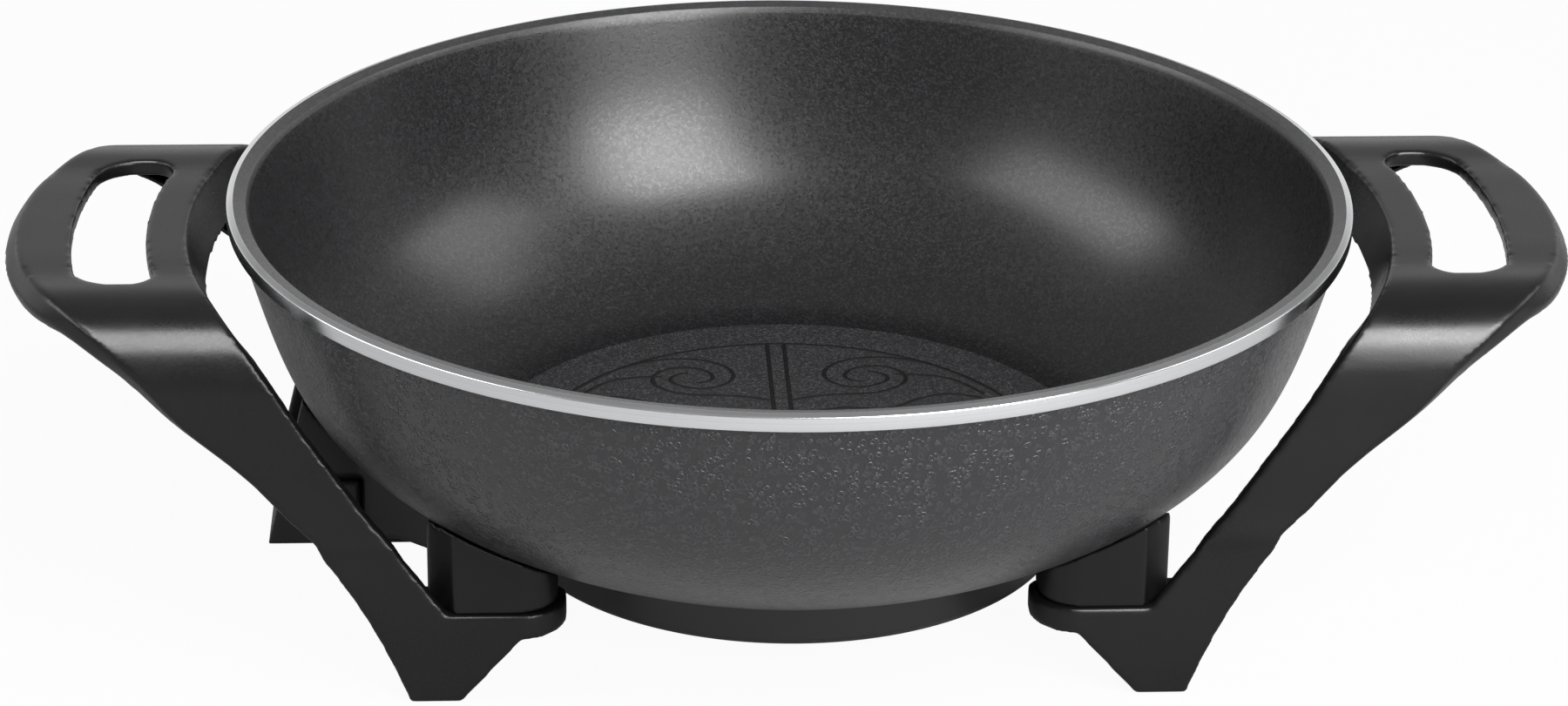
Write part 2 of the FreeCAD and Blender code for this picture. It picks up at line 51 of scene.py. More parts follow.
# The inner wall leaves the floor level and leans out one in four at the ledge
INNER_WALL_START = (1.0, 0.0)
INNER_WALL_END = (0.2425, 0.9701)
UNDER_Z = 34.5
UNDER_R = 80.6
RIB_R = 66.0
RIB_HALF = 6.0
HEATER_Z = 29.0

# Radii of the pan's soft corners
LEDGE_SOFT = 0.3
RIM_TOP_SOFT = 0.15
RIM_EDGE_SOFT = 0.45
RIM_FACE_SOFT = 0.3
SEAT_OUTER_SOFT = 0.5
SEAT_INNER_SOFT = 0.4
RECESS_SOFT = 1.0
RIB_SOFT = 0.8

# Material slots of the pan, in the order of its section
INNER, FLOOR, LEDGE, RIM, OUTER, UNDER = range(6)

# Terminal block, leg lugs and cover bosses under the pan
BLOCK_FACE_X = -112.0
BLOCK_BACK_X = -79.0
BLOCK_HALF_Y = 29.0
BLOCK_Z = 29.6
BLOCK_STEPS = 6
BLOCK_EDGE = 1.0
PROBE_BORE_R = 3.2
PROBE_BORE_Z = 34.8
PROBE_BORE_DEPTH = 22.0
LUG_X = 87.0
LUG_Y = 77.6
LUG_R = 7.0
LUG_Z = 34.0
BOSS_RING_R = 42.0
BOSS_R = 5.0
BOSS_Z = 18.9
BOSS_COUNT = 3
BOSS_FIRST_ANGLE = 30
STUB_INTO_WALL = 1.2
STUB_EDGE = 0.6
STUB_EDGE_ANGLE = 50
# Inside the seat ring there is no wall to end at, so a stub ends a little over this height
INSIDE_SEAT_Z = SEAT_Z + 4

# Floor medallion: a traditional scroll ornament, drawn for the rear right quarter and mirrored
MEDALLION_R = 94.0
RING_R = 78.0
BAR_X = 2.7
LINE_WIDTH = 1.5
LINE_HEIGHT = 0.16
OUTER_SCROLL = [(67.5, 39.5), (61, 48), (53, 57), (44, 63.5), (34, 66.6), (24, 65.4), (16.6, 60),
                (14.4, 53), (17.4, 46.4), (24.2, 43.4), (31.2, 45.6), (34.4, 50.2), (32.6, 54.0),
                (28.6, 55.6)]
INNER_SCROLL = [(BAR_X, 33.6), (10, 36.4), (20, 38), (30, 39.2), (37.2, 43.6), (40.2, 50), (38, 56.2),
                (31.4, 59.8), (25, 58.4), (21.2, 54), (21.8, 49.6), (26, 47.8)]
TAIL = [(64, 37), (58.6, 44.6), (52.8, 50), (45, 52.4), (37, 53)]
SIDE_SCROLL = [(BAR_X + 5, 24), (20, 27.6), (33, 27), (42, 33), (51.6, 37.2), (62, 34.6), (69.6, 27),
               (71.4, 16), (67, 6), (58.4, 2.6), (50.6, 6.4), (48.4, 14), (52.4, 20.4), (59, 20.8),
               (61.4, 15.8)]
# A line's section across, in half widths, and up, in line heights
LINE_SECTION = [(-1.0, -0.1), (-0.72, 0.72), (0.0, 1.0), (0.72, 0.72), (1.0, -0.1)]

# How finely the meshes are made
ON_AXIS = 1e-6
TURN_STEPS = 320
WALL_STEPS = 14
CORNER_STEPS = 5
CIRCLE_STEPS = 40
BORE_STEPS = 48
RING_STEPS = 180
BAR_STEPS = 40
SCROLL_STEPS = 10
SHARP_ANGLE = 35
LINE_SHARP_ANGLE = 80
FRAME_CELL = 0.75
FRAME_PASSES = 12
SMALL_CELL = 0.7
SMALL_PASSES = 4

# Studio: how much of each kind of ray sees plain white, and how the backdrop ends above
CAMERA_WHITE = 0.95
GLOSSY_WHITE = 0.05
BACKDROP_RISE = 0.4
BACKDROP_FADE = 0.1
CEILING = 0.36
AMBIENT = 0.12
SWEEP_HALF = 6
AIM_Z = 0.09
STRAP_X = 0.17
BOX_DISTANCE = 1.7
STRAP_BOX_DISTANCE = 0.9

# Camera: fitted to the pan's rim and the four level feet
SENSOR_WIDTH_MM = 36.0
LENS_MM = 107.152
CAMERA_PLACE = (-0.068118, -1.299760, 0.641436)
CAMERA_RIGHT = (0.998846, -0.046865, 0.010460)
CAMERA_UP = (0.009243, 0.401422, 0.915847)
CAMERA_BACK = (-0.047120, -0.914693, 0.401392)


def linear(hexa):
    """An sRGB hex colour as the linear colour that the shaders take."""
    parts = [int(hexa[i:i + 2], 16) / 255 for i in (1, 3, 5)]
    return tuple(c / 12.92 if c <= 0.04045 else ((c + 0.055) / 1.055) ** 2.4 for c in parts) + (1.0,)


def pattern_scale(size_mm):
    """The scale of a pattern whose grains, cells or rings are this wide."""
    return 1 / (size_mm * MM)


def node(tree, kind, inputs=None, **settings):
    """Adds a shader node; an input is a value or another node's output socket."""
    made = tree.nodes.new(kind)
    for name, value in settings.items():
        setattr(made, name, value)
    for socket, value in (inputs or {}).items():
        if isinstance(value, bpy.types.NodeSocket):
            tree.links.new(value, made.inputs[socket])
        else:
            made.inputs[socket].default_value = value
    return made


def new_finish(name):
    """An empty material: the material, its tree, its shader and the object coordinates in metres."""
    finish = bpy.data.materials.new(name)
    finish.use_nodes = True
    tree = finish.node_tree
    shader = tree.nodes["Principled BSDF"]
    place = node(tree, "ShaderNodeTexCoord").outputs["Object"]
    return finish, tree, shader, place


def nonstick_coating(name, dark, light, bump, roughness):
    """Sprayed and baked PTFE: a satin sheen that spreads highlights, with a fine sparkling grain.

    The real grain and flecks are about 0.1 mm; they are drawn at 1.2 and 0.5 mm to show.
    """
    finish, tree, shader, place = new_finish(name)
    grain = node(tree, "ShaderNodeTexNoise",
                 {"Vector": place, "Scale": pattern_scale(1.2), "Detail": 2.0,
                  "Roughness": 0.6}).outputs["Fac"]
    fleck = node(tree, "ShaderNodeTexVoronoi",
                 {"Vector": place, "Scale": pattern_scale(0.5)}).outputs["Color"]
    value = node(tree, "ShaderNodeSeparateColor", {"Color": fleck}).outputs["Red"]
    spread = node(tree, "ShaderNodeMapRange",
                  {"Value": value, "From Min": 0.55, "From Max": 1.0}).outputs[0]
    mixed = node(tree, "ShaderNodeMath", {0: spread, 1: grain}, operation="MULTIPLY").outputs[0]
    colour = node(tree, "ShaderNodeMix", {"Factor": mixed, "A": linear(dark), "B": linear(light)},
                  data_type="RGBA").outputs["Result"]
    tree.links.new(colour, shader.inputs["Base Color"])
    rough = node(tree, "ShaderNodeMapRange",
                 {"Value": grain, "From Min": 0.3, "From Max": 0.7,
                  "To Min": roughness - 0.06, "To Max": roughness + 0.06}).outputs[0]
    tree.links.new(rough, shader.inputs["Roughness"])
    height = node(tree, "ShaderNodeMath", {0: grain, 1: spread}, operation="ADD").outputs[0]
    normal = node(tree, "ShaderNodeBump", {"Height": height, "Strength": bump, "Distance": 0.1 * MM})
    tree.links.new(normal.outputs["Normal"], shader.inputs["Normal"])
    shader.inputs["IOR"].default_value = 1.5
    return finish


def turned_aluminium(name, dark, light, roughness):
    """Lathe-turned bright aluminium: fine rings round the axis that draw reflections into streaks.

    Real tool marks are about 0.1 mm apart; they are drawn 0.6 mm apart to show.
    """
    finish, tree, shader, place = new_finish(name)
    axes = node(tree, "ShaderNodeSeparateXYZ", {"Vector": place}).outputs
    flat = node(tree, "ShaderNodeCombineXYZ", {"X": axes["X"], "Y": axes["Y"]}).outputs["Vector"]
    radius = node(tree, "ShaderNodeVectorMath", {0: flat}, operation="LENGTH").outputs["Value"]
    across = node(tree, "ShaderNodeCombineXYZ", {"X": radius, "Y": axes["Z"]}).outputs["Vector"]
    rings = node(tree, "ShaderNodeTexNoise",
                 {"Vector": across, "Scale": pattern_scale(0.6), "Detail": 3.0}).outputs["Fac"]
    worn = node(tree, "ShaderNodeTexNoise",
                {"Vector": place, "Scale": pattern_scale(20), "Detail": 2.0}).outputs["Fac"]
    colour = node(tree, "ShaderNodeMix", {"Factor": rings, "A": linear(dark), "B": linear(light)},
                  data_type="RGBA").outputs["Result"]
    tree.links.new(colour, shader.inputs["Base Color"])
    rough = node(tree, "ShaderNodeMapRange",
                 {"Value": worn, "From Min": 0.3, "From Max": 0.7,
                  "To Min": roughness - 0.05, "To Max": roughness + 0.06}).outputs[0]
    tree.links.new(rough, shader.inputs["Roughness"])
    normal = node(tree, "ShaderNodeBump", {"Height": rings, "Strength": 0.25, "Distance": 0.04 * MM})
    tree.links.new(normal.outputs["Normal"], shader.inputs["Normal"])
    shader.inputs["Metallic"].default_value = 1.0
    return finish


def pebbled_enamel(name, dark, light):
    """Baked textured enamel: curled ridges about 2 mm across that catch small glints.

    The ridges are clearest near the rim and fade out towards the seat, and a fine grit lies over all. The
    ridges are also coloured lighter than the ground as a painted glint, strongest near the rim.
    """
    finish, tree, shader, place = new_finish(name)
    wander = node(tree, "ShaderNodeTexNoise",
                  {"Vector": place, "Scale": pattern_scale(3.2), "Detail": 1.0}).outputs["Color"]
    shift = node(tree, "ShaderNodeVectorMath", {0: wander, 1: (-0.5, -0.5, -0.5)},
                 operation="ADD").outputs[0]
    pull = node(tree, "ShaderNodeVectorMath", {0: shift, "Scale": 1.6 * MM}, operation="SCALE").outputs[0]
    warped = node(tree, "ShaderNodeVectorMath", {0: place, 1: pull}, operation="ADD").outputs[0]
    # Each ridge is a ring round the middle of its cell
    centre = node(tree, "ShaderNodeTexVoronoi",
                  {"Vector": warped, "Scale": pattern_scale(2.4)}).outputs["Distance"]
    off = node(tree, "ShaderNodeMath", {0: centre, 1: 0.4}, operation="SUBTRACT").outputs[0]
    away = node(tree, "ShaderNodeMath", {0: off}, operation="ABSOLUTE").outputs[0]
    ridge = node(tree, "ShaderNodeMapRange",
                 {"Value": away, "From Min": 0.02, "From Max": 0.17, "To Min": 1.0, "To Max": 0.0},
                 interpolation_type="SMOOTHSTEP").outputs[0]
    patch = node(tree, "ShaderNodeTexNoise",
                 {"Vector": place, "Scale": pattern_scale(4.5), "Detail": 1.0}).outputs["Fac"]
    broken = node(tree, "ShaderNodeMapRange",
                  {"Value": patch, "From Min": 0.36, "From Max": 0.6,
                   "To Min": 0.3, "To Max": 1.0}).outputs[0]
    curl = node(tree, "ShaderNodeMath", {0: ridge, 1: broken}, operation="MULTIPLY").outputs[0]
    fine = node(tree, "ShaderNodeTexNoise",
                {"Vector": place, "Scale": pattern_scale(0.7), "Detail": 2.0}).outputs["Fac"]
    height_z = node(tree, "ShaderNodeSeparateXYZ", {"Vector": place}).outputs["Z"]
    near_rim = node(tree, "ShaderNodeMapRange",
                    {"Value": height_z, "From Min": 40 * MM, "From Max": 118 * MM,
                     "To Min": 0.3, "To Max": 1.0}).outputs[0]
    relief_and_glint = node(tree, "ShaderNodeMath", {0: curl, 1: near_rim}, operation="MULTIPLY").outputs[0]
    grit = node(tree, "ShaderNodeMath", {0: fine, 1: 0.35}, operation="MULTIPLY").outputs[0]
    height = node(tree, "ShaderNodeMath", {0: relief_and_glint, 1: grit}, operation="ADD").outputs[0]
    # Painted glint: the same height that raises the ridges also colours them lighter, most near the rim
    colour = node(tree, "ShaderNodeMix", {"Factor": relief_and_glint, "A": linear(dark), "B": linear(light)},
                  data_type="RGBA").outputs["Result"]
    tree.links.new(colour, shader.inputs["Base Color"])
    rough = node(tree, "ShaderNodeMapRange",
                 {"Value": fine, "From Min": 0.3, "From Max": 0.7,
                  "To Min": 0.26, "To Max": 0.36}).outputs[0]
    tree.links.new(rough, shader.inputs["Roughness"])
    normal = node(tree, "ShaderNodeBump", {"Height": height, "Strength": 0.9, "Distance": 0.4 * MM})
    tree.links.new(normal.outputs["Normal"], shader.inputs["Normal"])
    shader.inputs["IOR"].default_value = 1.5
    return finish


def moulded_phenolic(name, dark, light, roughness, bump):
    """Compression-moulded phenolic: satin black that takes the mould's fine spark-eroded grain.

    The real grain is about 0.1 mm, drawn at 0.7 mm to show. Highlights are wide, soft and weak.
    """
    finish, tree, shader, place = new_finish(name)
    grain = node(tree, "ShaderNodeTexNoise",
                 {"Vector": place, "Scale": pattern_scale(0.7), "Detail": 2.0}).outputs["Fac"]
    cloud = node(tree, "ShaderNodeTexNoise",
                 {"Vector": place, "Scale": pattern_scale(30), "Detail": 3.0}).outputs["Fac"]
    colour = node(tree, "ShaderNodeMix", {"Factor": cloud, "A": linear(dark), "B": linear(light)},
                  data_type="RGBA").outputs["Result"]
    tree.links.new(colour, shader.inputs["Base Color"])
    uneven = node(tree, "ShaderNodeMath", {0: grain, 1: cloud}, operation="ADD").outputs[0]
    rough = node(tree, "ShaderNodeMapRange",
                 {"Value": uneven, "From Min": 0.7, "From Max": 1.3,
                  "To Min": roughness - 0.04, "To Max": roughness + 0.05}).outputs[0]
    tree.links.new(rough, shader.inputs["Roughness"])
    normal = node(tree, "ShaderNodeBump", {"Height": grain, "Strength": bump, "Distance": 0.06 * MM})
    tree.links.new(normal.outputs["Normal"], shader.inputs["Normal"])
    shader.inputs["IOR"].default_value = 1.5
    shader.inputs["Specular IOR Level"].default_value = 0.28
    return finish


def plain_surface(name, dark, light, size_mm, roughness, bump_mm, metallic=0.0, ior=1.5):
    """A cast, rolled, sprayed or moulded surface with an even grain of one size.

    Where the real grain is finer than the size given, it is drawn at that size to show.
    """
    finish, tree, shader, place = new_finish(name)
    grain = node(tree, "ShaderNodeTexNoise",
                 {"Vector": place, "Scale": pattern_scale(size_mm), "Detail": 3.0,
                  "Roughness": 0.6}).outputs["Fac"]
    colour = node(tree, "ShaderNodeMix", {"Factor": grain, "A": linear(dark), "B": linear(light)},
                  data_type="RGBA").outputs["Result"]
    tree.links.new(colour, shader.inputs["Base Color"])
    rough = node(tree, "ShaderNodeMapRange",
                 {"Value": grain, "From Min": 0.3, "From Max": 0.7,
                  "To Min": roughness - 0.05, "To Max": roughness + 0.05}).outputs[0]
    tree.links.new(rough, shader.inputs["Roughness"])
    normal = node(tree, "ShaderNodeBump", {"Height": grain, "Strength": 0.4, "Distance": bump_mm * MM})
    tree.links.new(normal.outputs["Normal"], shader.inputs["Normal"])
    shader.inputs["Metallic"].default_value = metallic
    if metallic == 0.0:
        shader.inputs["IOR"].default_value = ior
    return finish


def white_sweep(name, dark, light):
    """A painted white sweep: shown as white, with the object's soft shadow left on it."""
    finish, tree, shader, place = new_finish(name)
    cloud = node(tree, "ShaderNodeTexNoise", {"Vector": place, "Scale": pattern_scale(1250)}).outputs["Fac"]
    colour = node(tree, "ShaderNodeMix", {"Factor": cloud, "A": linear(dark), "B": linear(light)},
                  data_type="RGBA").outputs["Result"]
    tree.links.new(colour, shader.inputs["Base Color"])
    shader.inputs["Roughness"].default_value = 0.9
    shader.inputs["Specular IOR Level"].default_value = 0.0
    paths = node(tree, "ShaderNodeLightPath").outputs
    bounced = node(tree, "ShaderNodeMath", {0: paths["Is Glossy Ray"], 1: paths["Is Transmission Ray"]},
                   operation="MAXIMUM").outputs[0]
    glossy_share = node(tree, "ShaderNodeMath", {0: bounced, 1: GLOSSY_WHITE},
                        operation="MULTIPLY").outputs[0]
    camera_share = node(tree, "ShaderNodeMath", {0: paths["Is Camera Ray"], 1: CAMERA_WHITE},
                        operation="MULTIPLY").outputs[0]
    share = node(tree, "ShaderNodeMath", {0: glossy_share, 1: camera_share}, operation="ADD").outputs[0]
    glow = node(tree, "ShaderNodeEmission", {"Color": (1, 1, 1, 1), "Strength": 1.0}).outputs[0]
    mixed = node(tree, "ShaderNodeMixShader", {0: share, 1: shader.outputs[0], 2: glow}).outputs[0]
    tree.links.new(mixed, tree.nodes["Material Output"].inputs["Surface"])
    return finish


def smooth_curve(points, steps, start=None, end=None):
    """A cubic through 2-D points, by distance along them, with free ends or given end directions."""
    count = len(points)
    at = [0.0]
    for a, b in zip(points, points[1:]):
        at.append(at[-1] + math.dist(a, b))
    gaps = [b - a for a, b in zip(at, at[1:])]
    bends = []
    for axis in (0, 1):
        low = [0.0] * count
        mid = [1.0] * count
        up = [0.0] * count
        right = [0.0] * count
        for i in range(1, count - 1):
            low[i] = gaps[i - 1]
            up[i] = gaps[i]
            mid[i] = 2 * (gaps[i - 1] + gaps[i])
            right[i] = 6 * ((points[i + 1][axis] - points[i][axis]) / gaps[i]
                            - (points[i][axis] - points[i - 1][axis]) / gaps[i - 1])
        if start:
            mid[0] = 2 * gaps[0]
            up[0] = gaps[0]
            right[0] = 6 * ((points[1][axis] - points[0][axis]) / gaps[0] - start[axis])
        if end:
            low[-1] = gaps[-1]
            mid[-1] = 2 * gaps[-1]
            right[-1] = 6 * (end[axis] - (points[-1][axis] - points[-2][axis]) / gaps[-1])
        for i in range(1, count):
            ratio = low[i] / mid[i - 1]
            mid[i] -= ratio * up[i - 1]
            right[i] -= ratio * right[i - 1]
        bend = [0.0] * count
        bend[-1] = right[-1] / mid[-1]
        for i in range(count - 2, -1, -1):
            bend[i] = (right[i] - up[i] * bend[i + 1]) / mid[i]
        bends.append(bend)
    made = []
    for i, gap in enumerate(gaps):
        for step in range(steps):
            t = gap * step / steps
            rest = gap - t
            made.append(tuple(
                (bends[k][i] * rest ** 3 + bends[k][i + 1] * t ** 3) / (6 * gap)
                + (points[i][k] / gap - bends[k][i] * gap / 6) * rest
                + (points[i + 1][k] / gap - bends[k][i + 1] * gap / 6) * t
                for k in (0, 1)))
    made.append(points[-1])
    return made


OUTER_CURVE = smooth_curve(OUTER_WALL, WALL_STEPS)
INNER_CURVE = smooth_curve(INNER_WALL, WALL_STEPS, start=INNER_WALL_START, end=INNER_WALL_END)


def circle(x, y, radius, steps):
    """The corners of a round outline."""
    angles = [2 * math.pi * k / steps for k in range(steps)]
    return [(x + radius * math.cos(a), y + radius * math.sin(a)) for a in angles]


def softened_corner(before, corner, after, radius):
    """Points of an arc that rounds one corner of a profile."""
    tip = Vector(corner)
    back = (Vector(before) - tip).normalized()
    ahead = (Vector(after) - tip).normalized()
    half = back.angle(ahead) / 2
    reach = radius / math.tan(half)
    centre = tip + (back + ahead).normalized() * radius / math.sin(half)
    first = tip + back * reach - centre
    last = tip + ahead * reach - centre
    turn = first.angle_signed(last)
    points = []
    for k in range(CORNER_STEPS + 1):
        spot = centre + Matrix.Rotation(-turn * k / CORNER_STEPS, 2) @ first
        points.append((spot.x, spot.y))
    return points


def round_profile(points):
    """Rounds every corner that carries a radius: (r, z, slot, radius)."""
    made = []
    for i, (r, z, slot, radius) in enumerate(points):
        if radius:
            before = points[i - 1][:2]
            after = points[(i + 1) % len(points)][:2]
            made += [(x, y, slot) for x, y in softened_corner(before, (r, z), after, radius)]
        else:
            made.append((r, z, slot))
    return made


def smooth_by_angle(piece, degrees):
    """Smooth shading, with an edge kept where faces meet at more than an angle."""
    piece.data.shade_smooth()
    piece.data.set_sharp_from_angle(angle=math.radians(degrees))


def mesh_piece(name, verts, faces, finishes, slots=None, sharp=SHARP_ANGLE):
    """A smooth-shaded object from corners and faces, with a finish for each slot."""
    mesh = bpy.data.meshes.new(name)
    mesh.from_pydata(verts, [], faces)
    for finish in finishes:
        mesh.materials.append(finish)
    if slots:
        mesh.polygons.foreach_set("material_index", slots)
    work = bmesh.new()
    work.from_mesh(mesh)
    bmesh.ops.recalc_face_normals(work, faces=work.faces)
    work.to_mesh(mesh)
    work.free()
    piece = bpy.data.objects.new(name, mesh)
    bpy.context.scene.collection.objects.link(piece)
    smooth_by_angle(piece, sharp)
    return piece


def apply_modifiers(piece):
    """Keeps the shape that the modifiers give and drops the modifiers."""
    view = bpy.context.evaluated_depsgraph_get()
    made = bpy.data.meshes.new_from_object(piece.evaluated_get(view), depsgraph=view)
    piece.modifiers.clear()
    piece.data = made


def join(name, pieces):
    """One object from several, keeping their materials."""
    bpy.ops.object.select_all(action="DESELECT")
    for piece in pieces:
        piece.select_set(True)
    bpy.context.view_layer.objects.active = pieces[0]
    bpy.ops.object.join()
    pieces[0].name = name
    return pieces[0]


def lathe(name, profile, finishes):
    """Turns a closed profile of (r, z, slot) in millimetres round the Z axis."""
    verts = []
    rings = []
    for r, z, slot in profile:
        if r < ON_AXIS:
            rings.append([len(verts)] * TURN_STEPS)
            verts.append((0.0, 0.0, z * MM))
            continue
        rings.append(list(range(len(verts), len(verts) + TURN_STEPS)))
        verts += [(x * MM, y * MM, z * MM) for x, y in circle(0, 0, r, TURN_STEPS)]
    faces = []
    slots = []
    for i, ring in enumerate(rings):
        following = rings[(i + 1) % len(rings)]
        if ring[0] == ring[1] and following[0] == following[1]:
            continue
        for k in range(TURN_STEPS):
            n = (k + 1) % TURN_STEPS
            corner = [ring[k], following[k], following[n], ring[n]]
            faces.append([v for j, v in enumerate(corner) if v != corner[j - 1]])
            slots.append(profile[i][2])
    return mesh_piece(name, verts, faces, finishes, slots)


def pan_profile():
    """The pan's section as (r, z, slot, corner radius): floor, inside, rim, outside and underside."""
    inner_top_r, inner_top_z = INNER_WALL[-1]
    ledge_z = RIM_TOP - LEDGE_DROP
    edge_z = RIM_TOP - RIM_EDGE_DROP
    face_foot_z = edge_z - RIM_FACE
    profile = [
        (0.0, FLOOR_Z, FLOOR, 0.0),
        (FLOOR_MIDDLE_R, FLOOR_Z, FLOOR, 0.0),
        (MEDALLION_R, FLOOR_Z, INNER, 0.0),
    ]
    profile += [(r, z, INNER, 0.0) for r, z in INNER_CURVE[:-1]]
    profile += [
        (inner_top_r, inner_top_z, LEDGE, 0.0),
        (LEDGE_R - LEDGE_CHAMFER_IN, ledge_z - LEDGE_CHAMFER_DROP, LEDGE, 0.0),
        (LEDGE_R, ledge_z, LEDGE, LEDGE_SOFT),
        (RIM_R - RIM_EDGE_IN, RIM_TOP, RIM, RIM_TOP_SOFT),
        (RIM_R, edge_z, RIM, RIM_EDGE_SOFT),
        (RIM_R, face_foot_z, RIM, RIM_FACE_SOFT),
        (RIM_R - RIM_FOOT_IN, face_foot_z - RIM_FOOT_DROP, OUTER, 0.0),
    ]
    profile += [(r, z, OUTER, 0.0) for r, z in OUTER_CURVE[:-1]]
    profile += [
        (SEAT_R, SEAT_Z, UNDER, SEAT_OUTER_SOFT),
        (UNDER_R, SEAT_Z, UNDER, SEAT_INNER_SOFT),
        (UNDER_R, UNDER_Z, UNDER, RECESS_SOFT),
        (RIB_R + RIB_HALF, UNDER_Z, UNDER, RECESS_SOFT),
        (RIB_R + RIB_HALF, HEATER_Z, UNDER, RIB_SOFT),
        (RIB_R - RIB_HALF, HEATER_Z, UNDER, RIB_SOFT),
        (RIB_R - RIB_HALF, UNDER_Z, UNDER, RECESS_SOFT),
        (0.0, UNDER_Z, UNDER, 0.0),
    ]
    return profile


def outer_wall_z(r):
    """Height of the pan's outer wall at a radius; inside the seat ring, one fixed height."""
    for (r0, z0), (r1, z1) in zip(OUTER_CURVE, OUTER_CURVE[1:]):
        if r1 <= r <= r0:
            return z0 + (z1 - z0) * (r - r0) / (r1 - r0)
    return INSIDE_SEAT_Z


def stub(name, outline, low, finish, edge_mm=STUB_EDGE):
    """A boss cast under the pan: an outline from a height up into the wall's curve."""
    count = len(outline)
    tops = [outer_wall_z(math.hypot(x, y)) + STUB_INTO_WALL for x, y in outline]
    verts = [(x * MM, y * MM, low * MM) for x, y in outline]
    verts += [(x * MM, y * MM, top * MM) for (x, y), top in zip(outline, tops)]
    faces = [list(range(count - 1, -1, -1)), list(range(count, 2 * count))]
    for k in range(count):
        n = (k + 1) % count
        faces.append([k, n, count + n, count + k])
    piece = mesh_piece(name, verts, faces, [finish])
    edge = piece.modifiers.new("edge", "BEVEL")
    edge.width = edge_mm * MM
    edge.segments = 3
    edge.limit_method = "ANGLE"
    edge.angle_limit = math.radians(STUB_EDGE_ANGLE)
    apply_modifiers(piece)
    smooth_by_angle(piece, SHARP_ANGLE)
    return piece


def drill_probe_bore(block):
    """Drills the blind bore for the sensing stem into the terminal block's face."""
    bore = bpy.data.meshes.new("bore")
    work = bmesh.new()
    bmesh.ops.create_cone(
        work, cap_ends=True, segments=BORE_STEPS, radius1=PROBE_BORE_R * MM, radius2=PROBE_BORE_R * MM,
        depth=2 * PROBE_BORE_DEPTH * MM,
        matrix=Matrix.Translation((BLOCK_FACE_X * MM, 0, PROBE_BORE_Z * MM))
        @ Matrix.Rotation(math.pi / 2, 4, "Y"))
    work.to_mesh(bore)
    work.free()
    drill = bpy.data.objects.new("drill", bore)
    bpy.context.scene.collection.objects.link(drill)
    hole = block.modifiers.new("hole", "BOOLEAN")
    hole.operation = "DIFFERENCE"
    hole.object = drill
    apply_modifiers(block)
    bpy.data.objects.remove(drill)
    smooth_by_angle(block, SHARP_ANGLE)


def cast_stubs(outside, underneath):
    """The leg lugs, the cover bosses and the terminal block, cast in one with the pan."""
    made = []
    for sx in (-1, 1):
        for sy in (-1, 1):
            made.append(stub("lug", circle(sx * LUG_X, sy * LUG_Y, LUG_R, CIRCLE_STEPS), LUG_Z, outside))
    for k in range(BOSS_COUNT):
        turn = math.radians(BOSS_FIRST_ANGLE + 360 / BOSS_COUNT * k)
        outline = circle(BOSS_RING_R * math.cos(turn), BOSS_RING_R * math.sin(turn), BOSS_R, CIRCLE_STEPS)
        made.append(stub("boss", outline, BOSS_Z, underneath))
    length = BLOCK_BACK_X - BLOCK_FACE_X
    along = [BLOCK_FACE_X + length * k / BLOCK_STEPS for k in range(BLOCK_STEPS + 1)]
    outline = [(x, -BLOCK_HALF_Y) for x in along] + [(x, BLOCK_HALF_Y) for x in reversed(along)]
    block = stub("terminal_block", outline, BLOCK_Z, outside, BLOCK_EDGE)
    drill_probe_bore(block)
    made.append(block)
    return join("cast_lugs_and_terminal_block", made)


def raised_line(name, points, finish, closed=False):
    """One line of the floor ornament: a low half-round ridge on the pan's floor."""
    half = LINE_WIDTH / 2
    sides = len(LINE_SECTION)
    count = len(points)
    verts = []
    for i, (x, y) in enumerate(points):
        ahead = points[(i + 1) % count] if closed or i + 1 < count else points[i]
        behind = points[i - 1] if closed or i > 0 else points[i]
        along = Vector((ahead[0] - behind[0], ahead[1] - behind[1])).normalized()
        side = Vector((-along.y, along.x))
        for offset, height in LINE_SECTION:
            verts.append(((x + side.x * offset * half) * MM, (y + side.y * offset * half) * MM,
                          (FLOOR_Z + height * LINE_HEIGHT) * MM))
    faces = []
    for i in range(count if closed else count - 1):
        n = (i + 1) % count
        for k in range(sides):
            m = (k + 1) % sides
            faces.append([i * sides + k, n * sides + k, n * sides + m, i * sides + m])
    if not closed:
        faces.append(list(range(sides)))
        faces.append([(count - 1) * sides + k for k in reversed(range(sides))])
    return mesh_piece(name, verts, faces, [finish], sharp=LINE_SHARP_ANGLE)


def floor_medallion(finish):
    """The ring, the double bar and four mirrored pairs of scrolls on the pan's floor."""
    lines = [raised_line("ring", circle(0, 0, RING_R, RING_STEPS), finish, closed=True)]
    reach = math.sqrt(RING_R ** 2 - BAR_X ** 2)
    for side in (-1, 1):
        bar = [(side * BAR_X, -reach + 2 * reach * k / BAR_STEPS) for k in range(BAR_STEPS + 1)]
        lines.append(raised_line("bar", bar, finish))
        for end in (-1, 1):
            for scroll in (OUTER_SCROLL, INNER_SCROLL, TAIL, SIDE_SCROLL):
                path = smooth_curve([(side * x, end * y) for x, y in scroll], SCROLL_STEPS)
                lines.append(raised_line("scroll", path, finish))
    return join("floor_medallion", lines)


def softened_copy(part, finish, cell_mm, passes):
    """A moulded part with the soft edges of the mould, from the solid's own shape."""
    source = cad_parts[part]
    piece = bpy.data.objects.new(part + "_moulding", source.data.copy())
    bpy.context.scene.collection.objects.link(piece)
    piece.data.materials.clear()
    grid = piece.modifiers.new("grid", "REMESH")
    grid.mode = "VOXEL"
    grid.voxel_size = cell_mm * MM
    ease = piece.modifiers.new("ease", "SMOOTH")
    ease.factor = 0.5
    ease.iterations = passes
    apply_modifiers(piece)
    piece.data.shade_smooth()
    piece.data.materials.append(finish)
    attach(piece, "root")
    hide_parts(part)
    return piece


